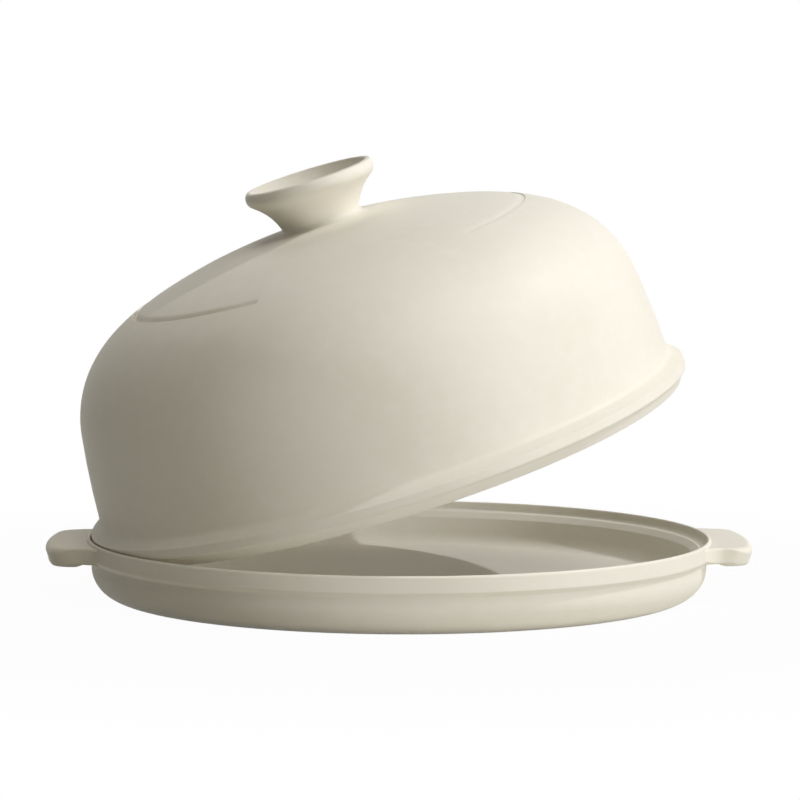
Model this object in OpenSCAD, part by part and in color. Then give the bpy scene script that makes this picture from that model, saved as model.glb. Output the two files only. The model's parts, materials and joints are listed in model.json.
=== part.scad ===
// Stoneware bread cloche: a domed lid with a hollow knob, tipped up on the rim of a
// shallow round dish with two tab handles. Both are glazed castings of one piece.
// Millimetres, +Z up, handles along X, origin at the centre of the dish's foot.

/* [Dish] */
// Outer diameter over the rim lip
rim_d = 297; // [270:1:330]
// Height of the rim lip above the foot
rim_h = 27.5; // [25:0.5:34]
// Height of the thicker band round the rim
band_h = 8; // [7:0.5:10]
// How far the band stands out from the wall below it
band_step = 2.1; // [1:0.1:4]
// Radius of the rounded corner between wall and foot
dish_corner_r = 12.7; // [11:0.1:15]
// How far the wall draws in from its side to the edge of the flat foot
foot_draw = 10; // [7:0.5:10.5]
// Thickness of the floor
floor_t = 7; // [5:0.5:10]
// Radius where the floor turns up into the inner wall
bowl_corner_r = 9; // [6:0.5:11]
// Lean of the inner wall from level
bowl_lean = 68; // [60:1:80]
// Thickness of the lip at the top of the rim
lip_t = 1.7; // [1.4:0.1:1.8]

/* [Seat] */
// How far the lid's foot edge lies inside the rim's outer edge
foot_inset = 5.75; // [5:0.25:7]
// Depth of the seat below the lip, under the lid's foot edge
seat_depth = 4.7; // [4:0.1:6]
// Slope of the seat inside the lid's foot edge
seat_slope = 42.5; // [36:0.5:45]
// Width of that slope
seat_in_w = 3.1; // [2.8:0.1:4]
// Slope of the seat outside the lid's foot edge
seat_out_slope = 8; // [4:1:9]
// Running gap between lid and seat
seat_gap = 0.3; // [0.2:0.05:0.5]

/* [Handles] */
// Reach of a handle beyond the rim
handle_reach = 19.5; // [12:0.5:25]
// Width of a handle
handle_w = 78; // [60:1:90]
// Thickness of a handle at its root
handle_t = 7.6; // [6:0.1:8]
// Depth of the handle's top below the rim lip
handle_drop = 1.5; // [1:0.1:2]
// How far the handle's outer edge turns down below its underside
handle_hook = 1.7; // [0:0.1:3]
// Corner radius of a handle seen from above
handle_corner_r = 10; // [6:1:16]
// Radius of the fillets where a handle runs into the rim
handle_root_r = 12; // [6:1:18]

/* [Lid] */
// Wall thickness
lid_wall = 6.5; // [5:0.25:8]
// Height of the locating ring below the flange
ring_h = 4.7; // [4.4:0.1:6]
// How far the flange stands out beyond the locating ring
flange_out = 4.25; // [3:0.05:4.5]
// Height of the lid's flange, from its foot to where the wall starts
flange_h = 15.3; // [13:0.1:20]
// How far the wall stands in from the flange's edge
wall_inset = 6.3; // [5:0.1:7]
// Radius of the lid's long wall curve
wall_curve_r = 392; // [300:1:450]
// Radius of the lower shoulder
shoulder_r = 54; // [44:1:60]
// Radius of the upper shoulder
haunch_r = 64.7; // [55:0.1:80]
// Radius of the curve that leads into the crown
brow_r = 118; // [95:1:150]

/* [Knob] */
// Diameter of the knob over its bead
knob_d = 62.7; // [50:0.2:72]
// Height of the knob's rim above the crown
knob_h = 23.2; // [22:0.1:27]
// Radius of the bead below the knob's rim
knob_bead_r = 4.6; // [3:0.1:6]
// Waist diameter of the knob
knob_waist_d = 37.2; // [30:0.2:40]
// Radius of the flare from the knob's waist to its bead
knob_flare_r = 26; // [22:0.5:26.5]
// Thickness of the knob's rim
knob_lip_t = 2.4; // [2:0.1:3.4]
// Depth of the knob's hollow
knob_hollow = 13.6; // [10:0.1:16]

/* [Thumb recesses] */
// Radius of the ledge that ends each recess
recess_r = 97; // [88:0.5:104]
// Radius where a recess starts
recess_in_r = 60; // [50:1:70]
// Depth of a recess at its ledge
recess_depth = 0.8; // [0.4:0.1:1.2]
// Half the angle that a recess spans
recess_half_angle = 58.5; // [40:0.5:75]

/* [Pose] */
// Angle by which the lid is tipped up
tip_angle = 17.8; // [0:0.1:21]
// Direction in which the lid rests on the dish
tip_azimuth = 194; // [180:0.5:210]
// How far the lid's foot slips down the seat as it tips
tip_slip = 4.3; // [3.9:0.05:4.4]
// Tipping angle at which the slip above is reached
slip_angle = 17.8; // [16:0.1:21]
// Turn of the lid's own left to right axis from the handles
lid_turn = 9.5; // [0:0.5:20]

/* [Hidden] */
$fn = 160;
glaze = [0.87, 0.85, 0.79];
over = 1;

// dish
rim_r = rim_d / 2;
wall_r = rim_r - band_step;
foot_r = wall_r - foot_draw;
dish_corner_sweep = acos(1 - foot_draw / dish_corner_r);
dish_corner_z = dish_corner_r * sin(dish_corner_sweep);
band_z = rim_h - band_h;
lip_out_r = 0.95 * lip_t;
lip_in_r = 0.42 * lip_t;
lip_bend = 45;
lid_foot_r = rim_r - foot_inset;
seat_z = rim_h - seat_depth;
seat_in_r = lid_foot_r - seat_in_w;
seat_in_z = seat_z - seat_in_w * tan(seat_slope);
seat_out_r = rim_r - lip_t - 0.5;
cove_r = 1.9;
cove_x = seat_out_r - cove_r;
cove_z = seat_z + (cove_x - lid_foot_r) * tan(seat_out_slope) + cove_r / cos(seat_out_slope);
seat_edge_round = 1.2;

// handle
tip_r = rim_r + handle_reach;
handle_top = rim_h - handle_drop;
handle_low = handle_top - handle_t;
handle_hook_w = 5;
handle_edge_r = 3;
hook_edge_r = 2;

// lid, in its own frame with its foot at z = 0
foot_round = 0.9;
ring_draft = 0.9;
closed_z = seat_z + seat_gap - foot_round / 3;
flange_r = lid_foot_r + flange_out;
nose_r = 1.6;
nose_end = 40;
wall_fillet_r = 4;
lid_wall_r = flange_r - wall_inset;
leans = [87.25, 81.13, 44.78, 28.94, 16.23];
curves = [wall_curve_r, shoulder_r, haunch_r, brow_r];
lean_step = 4;
crown_r = dome_joint(4)[0] / sin(leans[4]);
crown_z = dome_joint(4)[1] - crown_r * cos(leans[4]);
dome_top = crown_z + crown_r;

// knob
knob_r = knob_d / 2;
knob_top = dome_top + knob_h;
waist_r = knob_waist_d / 2;
flare_leans = [104, 140];
bead_drop = 3.4;
root_reach = 1.5;
bead_c = [knob_r - knob_bead_r, knob_top - bead_drop];
bead_start = bead_c + knob_bead_r * out(flare_leans[1]);
bead_end = 45;
flare_rise = knob_flare_r * (out(flare_leans[0]) - out(flare_leans[1]));
flare_end_r = waist_r + flare_rise[0];
flare_end_z = bead_start[1] + (bead_start[0] - flare_end_r) * tan(flare_leans[1]);
waist = [waist_r, flare_end_z - flare_rise[1]];
root_r = (waist[1] - dome_z(waist_r + root_reach)) / (1 - cos(flare_leans[0]));
knob_lip_c = [bead_c[0] + knob_bead_r * cos(bead_end) - 1, knob_top - knob_lip_t / 2];
hollow_edge = knob_lip_c[0] - knob_lip_t / 2;
hollow_drop = knob_hollow - knob_lip_t / 2;
hollow_r = (hollow_edge * hollow_edge + hollow_drop * hollow_drop) / (2 * hollow_drop);

// recess
recess_steps = 4;

// The lid's foot slips inwards as it tips, so it turns about a line inside its wall.
slip = tip_slip * [-cos(seat_slope), -sin(seat_slope)];
pivot = [lid_foot_r + (slip[0] + slip[1] / tan(slip_angle / 2)) / 2,
         closed_z + (slip[1] - slip[0] / tan(slip_angle / 2)) / 2];
hinge_dir = [-sin(tip_azimuth), cos(tip_azimuth), 0];

// Points on an arc about centre c
function arc(c, r, a0, a1) =
    let (n = max(2, ceil(abs(a1 - a0) / 9)))
    [for (i = [0 : n]) c + r * [cos(a0 + (a1 - a0) * i / n), sin(a0 + (a1 - a0) * i / n)]];

// Outward normal of a surface that leans by a from level
function out(a) = [sin(a), cos(a)];

// Points on a hollow curve about centre c, between two leans
function concave(c, r, a0, a1) =
    let (n = max(2, ceil(abs(a1 - a0) / 9)))
    [for (i = [0 : n]) c - r * out(a0 + (a1 - a0) * i / n)];

// Point where curve k of the dome starts
function dome_joint(k) =
    k == 0 ? [lid_wall_r, flange_h]
           : dome_joint(k - 1) - curves[k - 1] * (out(leans[k - 1]) - out(leans[k]));

// Outline of the dome from its wall to its crown, drawn in by t
function dome_line(t) = concat(
    [for (k = [0 : 3], i = [0 : ceil((leans[k] - leans[k + 1]) / lean_step) - 1])
        let (n = ceil((leans[k] - leans[k + 1]) / lean_step),
             a = leans[k] + (leans[k + 1] - leans[k]) * i / n)
        dome_joint(k) - curves[k] * out(leans[k]) + (curves[k] - t) * out(a)],
    [for (i = [0 : 6])
        let (a = leans[4] * (1 - i / 6))
        [(crown_r - t) * sin(a), crown_z + (crown_r - t) * cos(a)]]);

// Height of the crown's surface at radius r
function dome_z(r) = crown_z + sqrt(crown_r * crown_r - r * r);

// Points of a list that lie between two radii
function between(points, r0, r1) = [for (p = points) if (p[0] > r0 && p[0] < r1) p];

// Height of the dome's outline at radius r
function outline_z(r) = lookup(r, [for (i = [len(dome_line(0)) - 1 : -1 : 0]) dome_line(0)[i]]);

module dish_section() {
    bowl_foot_r = seat_in_r - (seat_in_z - floor_t) / tan(bowl_lean);
    seat_mid = 90 + (seat_slope + bowl_lean) / 2;
    seat_turn = (bowl_lean - seat_slope) / 2;
    bowl_c = [bowl_foot_r - bowl_corner_r * tan(bowl_lean / 2), floor_t + bowl_corner_r];
    lip_step = lip_out_r - lip_in_r;
    lip_c = [rim_r - lip_out_r, rim_h - lip_in_r - lip_step * sin(lip_bend)];
    polygon(concat(
        [[0, 0]],
        arc([wall_r - dish_corner_r, dish_corner_z], dish_corner_r, -dish_corner_sweep, 0),
        [[wall_r, band_z - band_step], [rim_r - 0.4, band_z], [rim_r, band_z + 0.9]],
        arc(lip_c, lip_out_r, 0, lip_bend),
        arc(lip_c + lip_step * [cos(lip_bend), sin(lip_bend)], lip_in_r, lip_bend + 15, 170),
        arc([cove_x, cove_z], cove_r, -12, seat_out_slope - 90),
        [[lid_foot_r, seat_z]],
        arc([seat_in_r, seat_in_z] - seat_edge_round / cos(seat_turn) * [cos(seat_mid), sin(seat_mid)],
            seat_edge_round, 90 + seat_slope, 90 + bowl_lean),
        arc(bowl_c, bowl_corner_r, bowl_lean - 90, -90),
        [[0, floor_t]]));
}

module handle_plan() {
    half = handle_w / 2;
    corner_y = half - handle_corner_r;
    corner_x = sqrt(pow(tip_r - handle_corner_r, 2) - corner_y * corner_y);
    root_y = half + handle_root_r;
    root_x = sqrt(pow(rim_r + handle_root_r, 2) - root_y * root_y);
    inside = rim_r - handle_root_r;
    difference() {
        translate([inside, -half]) square([tip_r - inside + over, handle_w]);
        for (side = [-1, 1]) mirror([0, side < 0 ? 1 : 0]) difference() {
            polygon([[corner_x, corner_y], [corner_x, half + over],
                     [tip_r + 2 * over, half + over],
                     [corner_x, corner_y] * (tip_r + 3 * over) / (tip_r - handle_corner_r)]);
            translate([corner_x, corner_y]) circle(handle_corner_r);
        }
    }
    for (side = [-1, 1]) mirror([0, side < 0 ? 1 : 0]) difference() {
        polygon([[inside, half - over], [root_x, half - over], [root_x, root_y],
                 [root_x, root_y] * rim_r / (rim_r + handle_root_r),
                 [root_x, root_y] * (rim_r - over) / (rim_r + handle_root_r)]);
        translate([root_x, root_y]) circle(handle_root_r);
    }
}

module handle_section() {
    in_r = rim_r - lip_t * 0.6;
    hook_in = tip_r - handle_hook_w;
    polygon(concat(
        [[in_r, handle_low], [hook_in - handle_hook, handle_low],
         [hook_in, handle_low - handle_hook * 0.6]],
        arc([tip_r - hook_edge_r - 1, handle_low - handle_hook + hook_edge_r], hook_edge_r, -90, -20),
        arc([tip_r - handle_edge_r, handle_top - handle_edge_r], handle_edge_r, 0, 90),
        [[in_r, handle_top]]));
}

module handle() {
    intersection() {
        rotate_extrude() handle_section();
        translate([0, 0, handle_low - handle_hook - over])
            linear_extrude(handle_t + handle_hook + 2 * over) handle_plan();
    }
}

module base_dish() {
    color(glaze) {
        rotate_extrude() dish_section();
        for (turn = [0, 180]) rotate(turn) handle();
    }
}

module lid_section() {
    nose_c = [flange_r - nose_r, ring_h + nose_r];
    ring_r = lid_foot_r + ring_draft;
    wall_foot = [lid_wall_r, flange_h] + wall_fillet_r * out(leans[0]);
    inner = dome_line(lid_wall);
    polygon(concat(
        arc([lid_foot_r - foot_round, foot_round], foot_round, -90, 0),
        [[ring_r, ring_h - 0.5], [ring_r + 0.3, ring_h]],
        arc(nose_c, nose_r, -90, nose_end),
        concave(wall_foot, wall_fillet_r, 90 - nose_end, leans[0] - lean_step),
        dome_line(0),
        [for (i = [len(inner) - 1 : -1 : 0]) inner[i]],
        [[inner[0][0] + 0.4, foot_round], [inner[0][0] + 0.4 + foot_round, 0]]));
}

module knob_section() {
    difference() {
        polygon(concat(
            [[0, dome_top - lid_wall / 2], [waist_r + root_r, dome_top - lid_wall / 2]],
            concave(waist + root_r * out(flare_leans[0]), root_r, 0, flare_leans[0]),
            concave(waist + knob_flare_r * out(flare_leans[0]), knob_flare_r, flare_leans[0], flare_leans[1]),
            arc(bead_c, knob_bead_r, 90 - flare_leans[1], bead_end),
            arc(knob_lip_c, knob_lip_t / 2, 20, 180),
            [[0, knob_top - knob_lip_t / 2]]));
        intersection() {
            translate([0, knob_top - knob_hollow + hollow_r]) circle(hollow_r);
            translate([0, dome_top]) square([hollow_edge, knob_h + over]);
        }
    }
}

// One shallow recess, deeper in steps towards its middle
module recess() {
    for (k = [1 : recess_steps]) {
        depth = recess_depth * k / recess_steps;
        reach = acos(cos(recess_half_angle) + (k - 0.5) / recess_steps * (1 - cos(recess_half_angle)));
        line = concat([[recess_r, outline_z(recess_r)]],
                      between(dome_line(0), recess_in_r, recess_r),
                      [[recess_in_r, outline_z(recess_in_r)]]);
        rotate(-reach) rotate_extrude(angle = 2 * reach)
            polygon(concat(
                [for (p = line) p - [0, depth * (p[0] - recess_in_r) / (recess_r - recess_in_r)]],
                [[recess_in_r, outline_z(recess_in_r) + over], [recess_r, outline_z(recess_in_r) + over]]));
    }
}

// The lid seated flat on the dish
module closed_lid() {
    translate([0, 0, closed_z]) rotate(lid_turn) difference() {
        rotate_extrude() {
            lid_section();
            knob_section();
        }
        for (turn = [0, 180]) rotate(turn) recess();
    }
}

module dome_lid() {
    at = [pivot[0] * cos(tip_azimuth), pivot[0] * sin(tip_azimuth), pivot[1]];
    color(glaze)
        translate(at) rotate(a = tip_angle, v = hinge_dir) translate(-at) closed_lid();
}

base_dish();
dome_lid();
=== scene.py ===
# A glazed stoneware bread cloche: a round baking dish with two tab handles, and a tall
# domed lid with a hollow knob, tipped open on the dish's rim.
import json
import math

import bpy
import numpy as np
from mathutils import Matrix, Vector


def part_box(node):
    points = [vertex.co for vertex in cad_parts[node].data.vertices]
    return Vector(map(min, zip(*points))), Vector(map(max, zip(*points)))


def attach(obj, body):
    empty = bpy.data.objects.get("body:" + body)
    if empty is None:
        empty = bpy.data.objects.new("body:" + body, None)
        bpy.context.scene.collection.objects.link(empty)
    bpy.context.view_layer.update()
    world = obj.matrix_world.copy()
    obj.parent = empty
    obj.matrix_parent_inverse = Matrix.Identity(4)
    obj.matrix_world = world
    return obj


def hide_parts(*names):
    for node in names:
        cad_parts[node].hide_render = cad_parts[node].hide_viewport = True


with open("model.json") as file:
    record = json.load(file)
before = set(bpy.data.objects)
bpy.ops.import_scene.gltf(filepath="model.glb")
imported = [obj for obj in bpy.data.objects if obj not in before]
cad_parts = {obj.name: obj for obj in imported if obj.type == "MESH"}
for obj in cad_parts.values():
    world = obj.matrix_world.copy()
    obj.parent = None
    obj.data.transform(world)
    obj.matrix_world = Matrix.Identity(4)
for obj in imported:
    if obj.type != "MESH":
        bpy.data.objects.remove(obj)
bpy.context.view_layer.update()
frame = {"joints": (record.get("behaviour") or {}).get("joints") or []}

mm = 0.001  # the sizes below are in millimetres, and Blender's are in metres
dishLow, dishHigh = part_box("base_dish")
rimRadius = dishHigh.y / mm
rimHeight = dishHigh.z / mm
handleTip = dishHigh.x / mm
print("frame: rim radius", round(rimRadius, 2), "rim height", round(rimHeight, 2))


# Shader maths

class Wire:
    # one shader socket, which plain arithmetic turns into Math nodes
    def __init__(self, board, socket):
        self.board = board
        self.socket = socket

    def maths(self, operation, first, second):
        return self.board.add("ShaderNodeMath", {"operation": operation}, {0: first, 1: second})

    def __add__(self, other):
        return self.maths("ADD", self, other)

    def __sub__(self, other):
        return self.maths("SUBTRACT", self, other)

    def __rsub__(self, other):
        return self.maths("SUBTRACT", other, self)

    def __mul__(self, other):
        return self.maths("MULTIPLY", self, other)

    def __truediv__(self, other):
        return self.maths("DIVIDE", self, other)

    __radd__ = __add__
    __rmul__ = __mul__


class Board:
    # the node tree of one material or of the world
    def __init__(self, owner):
        owner.use_nodes = True
        self.tree = owner.node_tree
        self.tree.nodes.clear()

    def add(self, kind, settings, inputs, output=0):
        node = self.tree.nodes.new(kind)
        for name, value in settings.items():
            if name == "stops":
                for place, (position, colour) in enumerate(value):
                    stops = node.color_ramp.elements
                    stop = stops[place] if place < 2 else stops.new(position)
                    stop.position = position
                    stop.color = (*colour, 1)
            else:
                setattr(node, name, value)
        for name, value in inputs.items():
            if isinstance(value, Wire):
                self.tree.links.new(value.socket, node.inputs[name])
            else:
                node.inputs[name].default_value = value
        return Wire(self, node.outputs[output]) if node.outputs else node

    def tint(self, amount, plain, mixed):
        # a colour that goes from plain to mixed
        return self.add("ShaderNodeMix", {"data_type": "RGBA"}, {0: amount, 6: plain, 7: mixed}, 2)

    def stretch(self, value, low, high, start, end, kind="LINEAR"):
        # low to high of the value, spread over start to end
        return self.add("ShaderNodeMapRange", {"interpolation_type": kind},
                        {0: value, 1: low, 2: high, 3: start, 4: end})

    def seenDirectly(self):
        # the rays that see a white background: straight, mirrored and passed on
        rays = [self.add("ShaderNodeLightPath", {}, {}, name)
                for name in ("Is Camera Ray", "Is Glossy Ray", "Is Transmission Ray")]
        return rays[0] + rays[1] + rays[2]


# Profiles: lists of (radius, height) points in millimetres

def direction(degrees):
    return np.array((math.cos(math.radians(degrees)), math.sin(math.radians(degrees))))


def lean(degrees):
    # outward normal of a surface that leans by that much from level
    return np.array((math.sin(math.radians(degrees)), math.cos(math.radians(degrees))))


def arc(centre, radius, start, end, step=8):
    count = max(2, math.ceil(abs(end - start) / step))
    return [np.array(centre) + radius * direction(a) for a in np.linspace(start, end, count + 1)]


def roundedPath(corners, step=9):
    # straight runs between corners (radius, height, fillet)
    path = [np.array(corners[0][:2], float)]
    for before, corner, after in zip(corners, corners[1:], corners[2:]):
        here = np.array(corner[:2], float)
        back = np.array(before[:2]) - here
        ahead = np.array(after[:2]) - here
        back, ahead = back / np.linalg.norm(back), ahead / np.linalg.norm(ahead)
        half = math.acos(float(np.clip(back @ ahead, -1, 1))) / 2
        if corner[2] == 0 or half > math.radians(89):
            path.append(here)
            continue
        middle = (back + ahead) / np.linalg.norm(back + ahead)
        centre = here + middle * corner[2] / math.sin(half)
        first = here + back * corner[2] / math.tan(half) - centre
        last = here + ahead * corner[2] / math.tan(half) - centre
        sweep = math.pi - 2 * half
        turn = math.copysign(sweep, first[0] * last[1] - first[1] * last[0])
        for a in np.linspace(0, turn, max(2, math.ceil(math.degrees(sweep) / step)) + 1):
            path.append(centre + np.array((first[0] * math.cos(a) - first[1] * math.sin(a),
                                           first[0] * math.sin(a) + first[1] * math.cos(a))))
    path.append(np.array(corners[-1][:2], float))
    return path


def evened(path, longest=7.0, guard=0.5):
    # long runs get rings of their own, with one close to each end, so that they shade flat
    points = [path[0]]
    for end in path[1:]:
        start = points[-1]
        length = float(np.linalg.norm(end - start))
        if length > 4 * guard:
            parts = max(1, math.ceil((length - 2 * guard) / longest))
            inside = np.linspace(guard, length - guard, parts + 1)
            points.extend(start + (end - start) * s / length for s in inside)
        points.append(end)
    return points


def smoothStep(x):
    x = np.clip(x, 0, 1)
    return x * x * (3 - 2 * x)


def wrapRound(name, radii, heights, angles, shifts):
    # a closed mesh from rings, each shifted along X: the first and the last are points
    rows, columns = radii.shape
    xs = radii * np.cos(angles) + shifts[:, None]
    ys = radii * np.sin(angles)
    vertices = [(float(shifts[0]), 0.0, float(heights[0, 0]))]
    for row in range(1, rows - 1):
        vertices.extend(zip(xs[row].tolist(), ys[row].tolist(), heights[row].tolist()))
    vertices.append((float(shifts[-1]), 0.0, float(heights[-1, 0])))
    following = [(column + 1) % columns for column in range(columns)]
    faces = [(0, 1 + following[c], 1 + c) for c in range(columns)]
    for row in range(1, rows - 2):
        start = 1 + (row - 1) * columns
        faces.extend((start + c, start + following[c], start + columns + following[c], start + columns + c)
                     for c in range(columns))
    start = 1 + (rows - 3) * columns
    faces.extend((start + c, start + following[c], len(vertices) - 1) for c in range(columns))
    mesh = bpy.data.meshes.new(name)
    mesh.from_pydata(vertices, [], faces)
    mesh.polygons.foreach_set("use_smooth", [True] * len(faces))
    return mesh


def finishPiece(mesh, name, placing, materials, body, node):
    mesh.transform(placing)
    mesh.update()
    piece = bpy.data.objects.new(name, mesh)
    bpy.context.scene.collection.objects.link(piece)
    for material in materials:
        mesh.materials.append(material)
    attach(piece, body)
    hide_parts(node)


# Finishes

glaze = {
    "colour": (0.864, 0.819, 0.72),
    "paleSpots": (0.882, 0.842, 0.75),
    "warmClouds": (0.844, 0.794, 0.69),
    "roughness": 0.60,
    "specular": 0.36,
    "roughnessSpread": 0.08,
    "coat": 0.06,
    "coatRoughness": 0.34,
    "cloudScale": 16.0,
    "mottleScale": 130.0,
    "peelScale": 420.0,
    "waveDepth": 0.0015,
    "peelDepth": 0.0002,
}


def glazeFinish(name, seed):
    material = bpy.data.materials.new(name)
    board = Board(material)
    place = board.add("ShaderNodeTexCoord", {}, {}, "Object")

    def noise(offset, scale, detail, roughness):
        return board.add("ShaderNodeTexNoise", {"noise_dimensions": "4D"}, {
            "Vector": place, "W": seed + offset, "Scale": scale, "Detail": detail, "Roughness": roughness})

    clouds = noise(0.0, glaze["cloudScale"], 3.0, 0.5)
    mottle = noise(3.0, glaze["mottleScale"], 2.0, 0.6)
    peel = noise(7.0, glaze["peelScale"], 1.0, 0.5)
    cloudy = board.stretch(clouds, 0.35, 0.65, 0.0, 1.0)
    spotty = board.stretch(mottle, 0.45, 0.75, 0.0, 0.7)
    body = board.tint(cloudy, (*glaze["warmClouds"], 1), (*glaze["colour"], 1))
    colour = board.tint(spotty, body, (*glaze["paleSpots"], 1))
    waves = clouds * 0.6 + mottle * 0.12
    wavy = board.add("ShaderNodeBump", {}, {
        "Strength": 0.12, "Distance": glaze["waveDepth"], "Height": waves})
    skin = board.add("ShaderNodeBump", {}, {
        "Strength": 0.05, "Distance": glaze["peelDepth"], "Height": peel, "Normal": wavy})
    shader = board.add("ShaderNodeBsdfPrincipled", {}, {
        "Base Color": colour, "Roughness": glaze["roughness"] + (mottle - 0.5) * glaze["roughnessSpread"],
        "Specular IOR Level": glaze["specular"], "Coat Weight": glaze["coat"],
        "Coat Roughness": glaze["coatRoughness"], "Normal": skin})
    board.add("ShaderNodeOutputMaterial", {}, {"Surface": shader})
    return material


clay = {
    "colour": (0.62, 0.52, 0.39),
    "grog": (0.43, 0.34, 0.24),
    "grainScale": 900.0,
    "stainScale": 22.0,
    "ringSpacing": 2.6,
    "roughness": 0.86,
    "depth": 0.0003,
}


def clayFinish():
    # the bare foot, with the fine rings of its trimming
    material = bpy.data.materials.new("bareClay")
    board = Board(material)
    place = board.add("ShaderNodeTexCoord", {}, {}, "Object")
    grains = board.add("ShaderNodeTexNoise", {}, {
        "Vector": place, "Scale": clay["grainScale"], "Detail": 3.0, "Roughness": 0.7})
    stains = board.add("ShaderNodeTexNoise", {}, {
        "Vector": place, "Scale": clay["stainScale"], "Detail": 2.0, "Roughness": 0.5})
    ringScale = math.pi / (10 * clay["ringSpacing"] * mm)  # a wave at scale 1 is pi / 10 long
    rings = board.add("ShaderNodeTexWave", {"wave_type": "RINGS", "rings_direction": "Z"},
                      {"Vector": place, "Scale": ringScale, "Distortion": 0.6})
    dark = board.stretch(grains, 0.55, 0.8, 0.0, 0.8)
    colour = board.tint(dark, (*clay["colour"], 1), (*clay["grog"], 1))
    dusty = board.tint(stains * 0.3, colour, (*glaze["colour"], 1))
    rough = board.add("ShaderNodeBump", {}, {
        "Strength": 0.4, "Distance": clay["depth"], "Height": grains * 0.6 + rings * 0.5})
    shader = board.add("ShaderNodeBsdfPrincipled", {},
                       {"Base Color": dusty, "Roughness": clay["roughness"], "Normal": rough})
    board.add("ShaderNodeOutputMaterial", {}, {"Surface": shader})
    return material


dishGlaze = glazeFinish("dishGlaze", 1.0)
lidGlaze = glazeFinish("lidGlaze", 5.0)
bareClay = clayFinish()
print("finishes: satin cream glaze and bare clay")


# Baking dish

dish = {
    "bandHeight": 8.0, "bandStep": 2.1, "bandEdge": 0.8, "bandLift": 0.3,
    "cornerRadius": 14.5, "footDraw": 10.8,
    "floor": 7.0, "bowlCorner": 9.0, "bowlLean": 68.0,
    "lip": 1.7, "lipOuter": 0.95, "lipInner": 0.42, "footInset": 5.75,
    "seatDepth": 4.7, "seatSlope": 42.5, "seatWidth": 3.1, "seatEdge": 1.2, "seatCrest": 1.0,
    "shelfSlope": 8.0, "shelfEnd": 0.5, "cove": 1.9,
}
handle = {
    "width": 78.0, "drop": 1.5, "thickness": 7.6, "hook": 1.3, "hookWidth": 5.0,
    "cornerRadius": 10.0, "rootRadius": 12.0,
    "tipEdge": 3.0, "sideEdge": 0.9, "hookEdge": 2.0, "faceDraw": 1.1,
    "hookEnd": 7.5, "hookFade": 3.5, "roundEnd": 9.0, "blend": 4.0, "rootDrop": 1.2,
}
wallRadius = rimRadius - dish["bandStep"]
lidFootRadius = rimRadius - dish["footInset"]
seatHeight = rimHeight - dish["seatDepth"]


def handleReach(angles, inset):
    # radius of the dish's outline with its handle, drawn in by inset, at angles from the handle's middle
    half = handle["width"] / 2
    cornerY = half - handle["cornerRadius"]
    cornerX = math.sqrt((handleTip - handle["cornerRadius"]) ** 2 - cornerY ** 2)
    rootY = half + handle["rootRadius"]
    rootX = math.sqrt((rimRadius + handle["rootRadius"]) ** 2 - rootY ** 2)
    turn = np.abs(angles)
    cosine, sine = np.cos(turn), np.sin(turn)

    def crossing(x, y, radius, side):
        # where a ray meets a circle: the far side, or the near one
        along = x * cosine + y * sine
        inside = radius ** 2 - (x ** 2 + y ** 2 - along ** 2)
        return np.where(inside > 0, along + side * np.sqrt(np.maximum(inside, 0)), np.nan)

    tip = np.full_like(turn, handleTip - inset)
    corner = crossing(cornerX, cornerY, handle["cornerRadius"] - inset, 1)
    straight = (half - inset) / np.maximum(sine, 1e-6)
    root = crossing(rootX, rootY, handle["rootRadius"] + inset, -1)
    cornerStart = math.atan2(cornerY, cornerX)
    cornerRay = cornerX * sine - cornerY * cosine  # how far the ray passes the corner's centre
    reach = np.where(turn < cornerStart, tip, np.where(np.isnan(corner), straight, corner))
    past = (cornerRay > 0) & (reach * cosine < cornerX)
    reach = np.where(past, straight, reach)
    root = np.where(np.isnan(root), rimRadius, root)
    reach = np.where((turn > cornerStart) & (reach * cosine < rootX), root, reach)
    reach = np.where(turn > math.atan2(rootY, rootX), rimRadius, reach)
    return np.maximum(reach, rimRadius)


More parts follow.
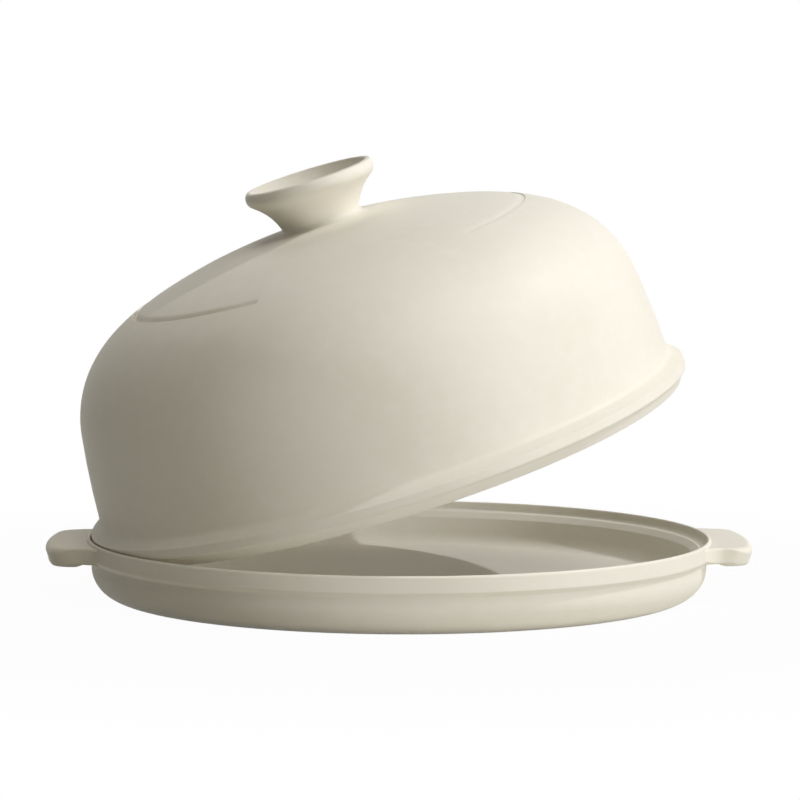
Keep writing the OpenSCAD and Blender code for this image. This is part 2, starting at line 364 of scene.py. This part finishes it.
def bandRows(angles):
    # the band round the rim, which swells into the two handles, from the lip down to the wall
    side = np.abs((angles + math.pi / 2) % math.pi - math.pi / 2)
    reach = handleReach(side, 0.0)
    grown = smoothStep((reach - rimRadius) / handle["blend"])
    # the hook and the full rounding run along the outer edge and end in the corners
    roundTip = smoothStep((reach - handleTip + handle["roundEnd"]) / (handle["roundEnd"] - 1))
    hook = handle["hook"] * smoothStep((reach - handleTip + handle["hookEnd"]) / handle["hookFade"])
    top = rimHeight - handle["drop"]
    under = top - handle["thickness"]
    edge = handle["sideEdge"] + (handle["tipEdge"] - handle["sideEdge"]) * roundTip
    low = handle["sideEdge"] + (handle["hookEdge"] - handle["sideEdge"]) * roundTip
    draw = handle["faceDraw"] * roundTip
    hookRun = (handle["hookWidth"] + handle["hook"] - handle["hookEdge"] - handle["faceDraw"]) * roundTip
    # the band's lower edge, where there is no handle: its first and last points only give the direction
    bandLow = rimHeight - dish["bandHeight"]
    chamferTop = bandLow + dish["bandLift"]
    chamfer = roundedPath([(rimRadius, bandLow + 3), (rimRadius, chamferTop, dish["bandEdge"]),
                           (wallRadius, chamferTop - dish["bandStep"], dish["bandEdge"]),
                           (wallRadius, bandLow - 5)])[1:-1]
    cut = len(chamfer) // 2
    upperEdge, lowerEdge = chamfer[:cut], chamfer[cut:]
    plainStep = 0.02  # how close the top's rows lie where there is no handle
    faceTop, faceLow = top - 1.1, bandLow + 0.7
    rows = []

    def row(inset, share, base, handleHeight, plainRadius, plainHeight):
        # share is how far the row lies from the outline back in to the base
        outline = handleReach(side, inset)
        grownRadius = base + (outline - base) * (1 - share)
        plain = plainRadius + (outline - rimRadius) * (1 - share)
        rows.append((plain + (grownRadius - plain) * grown,
                     plainHeight + (handleHeight - plainHeight) * grown))

    topShares = (1.0, 0.97, 0.9, 0.7, 0.4, 0.12, 0.03)
    for place, share in enumerate(topShares):
        row(edge, share, rimRadius, top + 0 * side, rimRadius, top - plainStep * place)
    roundTop = top - plainStep * len(topShares)
    for a in np.linspace(0, 90, 8):
        rise, run = math.cos(math.radians(a)), math.sin(math.radians(a))
        row(edge * (1 - run), 0.0, rimRadius, top - edge * (1 - rise), rimRadius,
            roundTop - handle["sideEdge"] * (1 - rise))
    faceStart, faceEnd = top - edge, under - hook + low
    for s in (0.08, 0.35, 0.65, 0.92):
        row(draw * s, 0.0, rimRadius, faceStart + (faceEnd - faceStart) * s, rimRadius,
            faceTop + (faceLow - faceTop) * s)
    for point, a in zip(upperEdge, np.linspace(0, 90, cut)):
        rise, run = math.sin(math.radians(a)), math.cos(math.radians(a))
        row(draw + low * (1 - run), 0.0, rimRadius, under - hook + low * (1 - rise), point[0], point[1])
    for s in (0.12, 0.35, 0.65, 0.88, 1.0):
        flat = upperEdge[-1] + (lowerEdge[0] - upperEdge[-1]) * 0.5 * s
        climb = hook * float(smoothStep(s))
        row(draw + low + hookRun * s, 0.0, rimRadius, under - hook + climb, flat[0], flat[1])
    shares = np.concatenate(([0.15, 0.5, 0.8], np.linspace(0.93, 1.0, len(lowerEdge) - 3)))
    for point, share in zip(lowerEdge, shares):
        drop = handle["rootDrop"] * smoothStep((share - 0.9) * 10)
        row(draw + low + hookRun, share, wallRadius, under - drop + 0 * side, point[0], point[1])
    return rows


def buildDish():
    # the columns lie closest from the handles' corners to where their sides meet the rim
    side = math.degrees(math.atan2(handle["width"] / 2 + handle["rootRadius"], rimRadius))
    quarter = np.concatenate((np.arange(0, 9, 1.0), np.arange(9, side + 1.5, 0.16),
                              np.linspace(side + 1.6, 90, 58)))
    halfTurn = np.concatenate((quarter, 180 - quarter[-2::-1]))
    angles = np.radians(np.concatenate((halfTurn[:-1], halfTurn[:-1] + 180)))
    seatInner = lidFootRadius - dish["seatWidth"]
    seatLow = seatHeight - dish["seatWidth"] * math.tan(math.radians(dish["seatSlope"]))
    bowlFoot = seatInner - (seatLow - dish["floor"]) / math.tan(math.radians(dish["bowlLean"]))
    shelfEnd = rimRadius - dish["lip"] - dish["shelfEnd"]
    shelfRise = (shelfEnd - lidFootRadius) * math.tan(math.radians(dish["shelfSlope"]))
    lipOut, lipIn = dish["lipOuter"] * dish["lip"], dish["lipInner"] * dish["lip"]
    lipTurn = (lipOut - lipIn) * direction(45)
    lipCentre = np.array((rimRadius - lipOut, rimHeight - lipIn - lipTurn[1]))
    coveFoot = (shelfEnd + 0.15, seatHeight + shelfRise)
    inside = roundedPath([
        (0, dish["floor"], 0), (bowlFoot, dish["floor"], dish["bowlCorner"]),
        (seatInner, seatLow, dish["seatEdge"]), (lidFootRadius, seatHeight, dish["seatCrest"]),
        (*coveFoot, dish["cove"]), (rimRadius - dish["lip"], rimHeight - lipIn)])[:-1]
    crest = arc(lipCentre + lipTurn, lipIn, 170, 45, 14) + arc(lipCentre, lipOut, 38, 0, 9)
    above = evened(inside) + crest
    cornerSweep = math.degrees(math.acos(1 - dish["footDraw"] / dish["cornerRadius"]))
    cornerHeight = dish["cornerRadius"] * math.sin(math.radians(cornerSweep))
    cornerCentre = (wallRadius - dish["cornerRadius"], cornerHeight)
    corner = arc(cornerCentre, dish["cornerRadius"], 0, -cornerSweep, 5)
    footRadius = wallRadius - dish["footDraw"]
    foot = [(footRadius + 0.35, 0.1), (footRadius - 0.25, 0.0), (footRadius - 2, 0.0), (0.0, 0.0)]
    below = evened([corner[0] + (0, 2.2)] + corner[:-1] + [np.array(point) for point in foot], 30)
    band = bandRows(angles)
    ones = np.ones_like(angles)
    radii = [p[0] * ones for p in above] + [b[0] for b in band] + [p[0] * ones for p in below]
    heights = [p[1] * ones for p in above] + [b[1] for b in band] + [p[1] * ones for p in below]
    mesh = wrapRound("castingDish", np.array(radii) * mm, np.array(heights) * mm, angles,
                     np.zeros(len(radii)))
    finishPiece(mesh, "castingDish", Matrix.Identity(4), (dishGlaze, bareClay), "dish", "base_dish")
    for face in mesh.polygons:
        if face.normal.z < -0.9 and face.center.z < 0.2 * mm:
            face.material_index = 1
    print("dish:", len(mesh.polygons), "faces")


# Lid

lid = {
    "wall": 6.5, "footRound": 0.9, "footTuck": 0.05, "innerTop": 6.0, "innerFlare": 0.4,
    "seatGap": 0.3, "turn": 9.5,
    "ringHeight": 4.7, "ringDraft": 2.2, "ledge": 0.4, "ledgeRise": 0.1,
    "flangeOut": 4.25, "flangeHeight": 15.3, "wallInset": 6.3,
    "noseRound": 1.6, "noseTop": 9.6, "noseDraft": 0.3, "noseEdge": 0.5,
    "flangeTop": 13.6, "wallFillet": 3.2,
    "leans": (87.25, 81.13, 44.78, 28.94, 16.23),
    "curves": (392.0, 54.0, 64.7, 118.0),
    "columns": 480,
}
recess = {"outer": 97.0, "inner": 60.0, "depth": 2.4, "halfAngle": 58.5,
          "ledge": 0.7, "steep": 0.76, "steepWidth": 3.6, "fullness": 0.32, "highSide": 0.25}
knob = {
    "offCentre": 1.7, "diameter": 62.7, "height": 22.6, "bead": 4.6, "waist": 37.2, "flare": 26.0,
    "flareLeans": (104.0, 140.0), "beadDrop": 3.4, "beadEnd": 45.0,
    "lip": 2.4, "lipInset": 1.0, "hollow": 13.6,
    "rootTight": 0.93, "rootSoft": 3.2, "softSide": -35.0, "softSpread": 1.5, "rootRows": 9,
}


def domeJoint(k):
    # point where curve k of the dome starts
    if k == 0:
        return np.array((lidFootRadius + lid["flangeOut"] - lid["wallInset"], lid["flangeHeight"]))
    turn = lean(lid["leans"][k - 1]) - lean(lid["leans"][k])
    return domeJoint(k - 1) - lid["curves"][k - 1] * turn


crownRadius = domeJoint(4)[0] / math.sin(math.radians(lid["leans"][4]))
crownCentre = domeJoint(4)[1] - crownRadius * math.cos(math.radians(lid["leans"][4]))
domeTop = crownCentre + crownRadius


def domeLine(inset, step=3.0):
    # the dome's outline from its wall to the middle of its crown
    line = []
    for k, radius in enumerate(lid["curves"]):
        start, end = lid["leans"][k], lid["leans"][k + 1]
        centre = domeJoint(k) - radius * lean(start)
        count = max(2, math.ceil((start - end) / step))
        line += [centre + (radius - inset) * lean(a) for a in np.linspace(start, end, count + 1)[:-1]]
    count = max(2, math.ceil(lid["leans"][4] / step))
    line += [np.array((0, crownCentre)) + (crownRadius - inset) * lean(a)
             for a in np.linspace(lid["leans"][4], 0, count + 1)]
    return line


def crownHeight(radius):
    return crownCentre + np.sqrt(crownRadius ** 2 - radius ** 2)


def recessDepth(radius, angles):
    # how far the two shallow recesses lie below the crown: they are deepest beside their outer ledge,
    # and the one on the lid's high side is shallower
    half = math.cos(math.radians(recess["halfAngle"]))
    across = np.abs(np.cos(angles))
    share = np.clip((across - half) / (1 - half), 0, 1) ** recess["fullness"]
    share = share * np.where(np.cos(angles) > 0, recess["highSide"], 1.0)
    ramp = np.clip((radius - recess["inner"]) / (recess["outer"] - recess["inner"]), 0, 1)
    bottom = recess["outer"] - recess["ledge"]
    steep = smoothStep((radius - bottom + recess["steepWidth"]) / recess["steepWidth"])
    ledge = 1 - smoothStep((radius - bottom) / recess["ledge"])
    return recess["depth"] * share * ((1 - recess["steep"]) * ramp + recess["steep"] * steep) * ledge


def knobRows(angles):
    # the knob from its root to the middle of its hollow; the root's fillet grows towards its soft side
    radius = knob["diameter"] / 2
    top = domeTop + knob["height"]
    beadCentre = np.array((radius - knob["bead"], top - knob["beadDrop"]))
    beadStart = beadCentre + knob["bead"] * lean(knob["flareLeans"][1])
    rise = knob["flare"] * (lean(knob["flareLeans"][0]) - lean(knob["flareLeans"][1]))
    flareEnd = np.array((knob["waist"] / 2 + rise[0], 0.0))
    flareSlope = math.tan(math.radians(knob["flareLeans"][1]))
    flareEnd[1] = beadStart[1] + (beadStart[0] - flareEnd[0]) * flareSlope
    waist = flareEnd - rise
    flareCentre = waist + knob["flare"] * lean(knob["flareLeans"][0])
    soft = ((1 + np.cos(angles - math.radians(knob["softSide"]))) / 2) ** knob["softSpread"]
    root = knob["rootTight"] + (knob["rootSoft"] - knob["rootTight"]) * soft
    ground = crownHeight(knob["waist"] / 2 + root)
    rootHeight = ground + root
    rootRadius = flareCentre[0] - np.sqrt((knob["flare"] - root) ** 2 - (rootHeight - flareCentre[1]) ** 2)
    meet = np.degrees(np.arctan2(flareCentre[0] - rootRadius, flareCentre[1] - rootHeight))
    rows = []
    for s in np.linspace(0, 1, knob["rootRows"]):
        a = np.radians(s * meet)
        rows.append((rootRadius - root * np.sin(a), rootHeight - root * np.cos(a)))
    for s in np.linspace(0, 1, 9)[1:]:
        a = np.radians(meet + (knob["flareLeans"][1] - meet) * s)
        rows.append((flareCentre[0] - knob["flare"] * np.sin(a),
                     flareCentre[1] - knob["flare"] * np.cos(a)))
    ones = np.ones_like(angles)
    bead = arc(beadCentre, knob["bead"], 90 - knob["flareLeans"][1], knob["beadEnd"], 7)
    lipRadius = knob["lip"] / 2
    lipCentre = (beadCentre[0] + knob["bead"] * math.cos(math.radians(knob["beadEnd"])) - knob["lipInset"],
                 top - lipRadius)
    lip = arc(lipCentre, lipRadius, 40, 165, 12)
    hollowEdge = lipCentre[0] - lipRadius
    hollowDrop = knob["hollow"] - lipRadius
    hollowRadius = (hollowEdge ** 2 + hollowDrop ** 2) / (2 * hollowDrop)
    hollowTurn = math.degrees(math.asin(hollowEdge / hollowRadius))
    hollow = [np.array((0, top - knob["hollow"] + hollowRadius)) - hollowRadius * lean(a)
              for a in np.linspace(-hollowTurn * 0.97, 0, 14)]
    rows += [(p[0] * ones, p[1] * ones) for p in bead + lip + hollow]
    return rows


def buildLid():
    angles = np.linspace(0, 2 * math.pi, lid["columns"], endpoint=False)
    ones = np.ones_like(angles)
    inner = domeLine(lid["wall"])[::-1]
    innerFoot = inner[-1][0] + lid["innerFlare"]
    ringRadius = lidFootRadius + lid["ringDraft"]
    flangeRadius = lidFootRadius + lid["flangeOut"]
    wallFoot = domeJoint(0)
    wallDrop = lid["flangeHeight"] - lid["flangeTop"]
    wallRun = wallDrop / math.tan(math.radians(lid["leans"][0]))
    foot = roundedPath([
        (innerFoot, lid["innerTop"], 0), (innerFoot + lid["innerFlare"], 0, lid["footRound"]),
        (lidFootRadius - lid["footTuck"], 0, lid["footRound"]),
        (ringRadius, lid["ringHeight"], lid["ledge"]),
        (flangeRadius, lid["ringHeight"] + lid["ledgeRise"], lid["noseRound"]),
        (flangeRadius - lid["noseDraft"], lid["noseTop"], lid["noseEdge"]),
        (wallFoot[0] + wallRun, lid["flangeTop"], lid["wallFillet"]), tuple(wallFoot)], 12)[:-1]
    skirt = evened(inner + foot)
    dense = np.array(domeLine(0, 0.25))[::-1]
    # the crown's rings, close together where the recesses' ledge and its steep side are
    rim = recess["outer"]
    rings = np.concatenate((
        rim + np.array((7.0, 4.5, 2.6, 1.4, 0.7, 0.35, 0.12)),
        rim - recess["ledge"] * np.array((0.0, 0.18, 0.35, 0.5, 0.65, 0.82, 1.0, 1.25)),
        rim - recess["ledge"] - recess["steepWidth"] * np.array((0.22, 0.36, 0.5, 0.64, 0.78, 0.92, 1.1)),
        np.linspace(rim - 6, 30, 17), (27.5,)))
    walls = [p for p in domeLine(0) if p[0] > rings[0] + 2]
    radii = [p[0] * ones for p in skirt + walls]
    heights = [p[1] * ones for p in skirt + walls]
    for ring in rings:
        radii.append(ring * ones)
        heights.append(np.interp(ring, dense[:, 0], dense[:, 1]) - recessDepth(ring, angles))
    # the knob stands a little off centre, so the rings round its root move over step by step
    knobPart = knobRows(angles)
    shifts = [0.0] * len(radii)

    def crownStep(radius, shift):
        moved = np.hypot(radius * np.cos(angles) + shift, radius * np.sin(angles))
        return crownHeight(moved) - crownHeight(radius)

    for share in (0.4, 0.75, 0.93):
        near = rings[-1] + (knobPart[0][0] - rings[-1]) * share
        shifts.append(knob["offCentre"] * share)
        radii.append(near)
        heights.append(crownHeight(near) + crownStep(near, shifts[-1]))
    rootStep = crownStep(knobPart[0][0], knob["offCentre"])
    for place, (radius, height) in enumerate(knobPart):
        shifts.append(knob["offCentre"])
        radii.append(radius)
        heights.append(height + rootStep * max(0, 1 - place / (knob["rootRows"] - 1)))
    mesh = wrapRound("castingLid", np.array(radii) * mm, np.array(heights) * mm, angles,
                     np.array(shifts) * mm)
    tilt = frame["joints"][0]
    pivot = Vector(tilt["pos_m"])
    closedHeight = seatHeight + lid["seatGap"] - lid["footRound"] / 3
    turned = Matrix.Rotation(math.radians(lid["turn"]), 4, "Z")
    closed = Matrix.Translation((0, 0, closedHeight * mm)) @ turned
    opening = Matrix.Rotation(math.radians(-tilt["range_deg"][0]), 4, Vector(tilt["axis"]))
    placing = Matrix.Translation(pivot) @ opening @ Matrix.Translation(-pivot) @ closed
    finishPiece(mesh, "castingLid", placing, (lidGlaze,), "lid", "dome_lid")
    print("lid:", len(mesh.polygons), "faces")


buildDish()
buildLid()


# Floor, lamps and camera

# reach, near and far are in metres; the white share grows from near to far, past the object's shadow
floorLook = {"reach": 6.0, "colour": (0.62, 0.61, 0.55), "near": 0.2, "far": 0.5, "nearWhite": 0.97}


def buildFloor():
    mesh = bpy.data.meshes.new("studioFloor")
    reach = floorLook["reach"]
    mesh.from_pydata([(-reach, -reach, 0), (reach, -reach, 0), (reach, reach, 0), (-reach, reach, 0)], [],
                     [(0, 1, 2, 3)])
    floor = bpy.data.objects.new("studioFloor", mesh)
    bpy.context.scene.collection.objects.link(floor)
    material = bpy.data.materials.new("studioFloor")
    board = Board(material)
    place = board.add("ShaderNodeTexCoord", {}, {}, "Object")
    distance = board.add("ShaderNodeVectorMath", {"operation": "LENGTH"}, {0: place}, "Value")
    share = board.stretch(distance, floorLook["near"], floorLook["far"], floorLook["nearWhite"], 1.0,
                          "SMOOTHSTEP")
    matt = board.add("ShaderNodeBsdfDiffuse", {}, {"Color": (*floorLook["colour"], 1)})
    white = board.add("ShaderNodeEmission", {}, {"Color": (1, 1, 1, 1), "Strength": 1.0})
    shader = board.add("ShaderNodeMixShader", {}, {0: board.seenDirectly() * share, 1: matt, 2: white})
    board.add("ShaderNodeOutputMaterial", {}, {"Surface": shader})
    mesh.materials.append(material)


worldLight = {"colour": (1.0, 0.94, 0.74), "strength": 0.03}


def buildWorld():
    world = bpy.data.worlds.new("studio")
    bpy.context.scene.world = world
    board = Board(world)
    soft = board.add("ShaderNodeBackground", {}, {
        "Color": (*worldLight["colour"], 1), "Strength": worldLight["strength"]})
    white = board.add("ShaderNodeBackground", {}, {"Color": (1, 1, 1, 1), "Strength": 1.0})
    shader = board.add("ShaderNodeMixShader", {}, {0: board.seenDirectly(), 1: soft, 2: white})
    board.add("ShaderNodeOutputWorld", {}, {"Surface": shader})


# azimuth is counted from +X towards +Y, which points away from the camera; sizes are in metres
lamps = {
    "keyRight": {"azimuth": 0.0, "elevation": 48.0, "size": 0.06, "power": 20.0,
                 "colour": (0.94, 0.962, 1.0)},
    "softRight": {"azimuth": -36.0, "elevation": 54.0, "size": 1.4, "power": 12.8,
                  "colour": (0.94, 0.962, 1.0)},
    "lowRight": {"azimuth": -39.0, "elevation": 5.0, "size": 0.6, "power": 20.6,
                 "colour": (0.945, 0.964, 1.0)},
    "lowFront": {"azimuth": -62.0, "elevation": 12.0, "size": 1.0, "power": 3.2,
                 "colour": (1.0, 0.95, 0.76)},
    "frontTop": {"azimuth": -95.0, "elevation": 66.0, "size": 1.0, "power": 10.0,
                 "colour": (1.0, 0.965, 0.85)},
    "backTop": {"azimuth": 105.0, "elevation": 58.0, "size": 1.0, "power": 5.0,
                "colour": (1.0, 0.97, 0.86)},
}
lampAim = Vector((0, 0, 90 * mm))
lampDistance = 2.4


def buildLamps():
    for name, lamp in lamps.items():
        data = bpy.data.lights.new(name, "AREA")
        data.shape = "DISK"
        data.size = lamp["size"]
        data.energy = lamp["power"]
        data.color = lamp["colour"]
        azimuth, elevation = math.radians(lamp["azimuth"]), math.radians(lamp["elevation"])
        toLamp = Vector((math.cos(azimuth) * math.cos(elevation), math.sin(azimuth) * math.cos(elevation),
                         math.sin(elevation)))
        lampObject = bpy.data.objects.new(name, data)
        lampObject.location = lampAim + toLamp * lampDistance
        lampObject.rotation_mode = "QUATERNION"
        lampObject.rotation_quaternion = (-toLamp).to_track_quat("-Z", "Y")
        bpy.context.scene.collection.objects.link(lampObject)


# the photograph's camera: distance, target and roll were fitted to the outlines of the dish and the lid
view = {"distance": 1700.0, "elevation": 4.81, "turn": -2.0, "roll": 0.18, "target": (0.28, 0.0, 92.27),
        "focalPixels": 3570.0, "imagePixels": 800.0, "sensor": 36.0}


def buildCamera():
    data = bpy.data.cameras.new("photoCamera")
    data.sensor_width = view["sensor"]
    data.lens = view["focalPixels"] * data.sensor_width / view["imagePixels"]
    camera = bpy.data.objects.new("photoCamera", data)
    turn = Matrix.Rotation(math.radians(view["turn"]), 4, "Z")
    elevation = math.radians(view["elevation"])
    back = Vector((0, -math.cos(elevation), math.sin(elevation)))
    place = (Vector(view["target"]) + back * view["distance"]) * mm
    look = Matrix.Rotation(math.pi / 2 - elevation, 4, "X")
    roll = Matrix.Rotation(math.radians(view["roll"]), 4, "Z")
    camera.matrix_world = turn @ Matrix.Translation(place) @ look @ roll
    bpy.context.scene.collection.objects.link(camera)
    bpy.context.scene.camera = camera


buildFloor()
buildWorld()
buildLamps()
buildCamera()
bpy.context.scene.view_settings.view_transform = "Standard"
print("stage: floor, world,", len(lamps), "lamps and the camera")
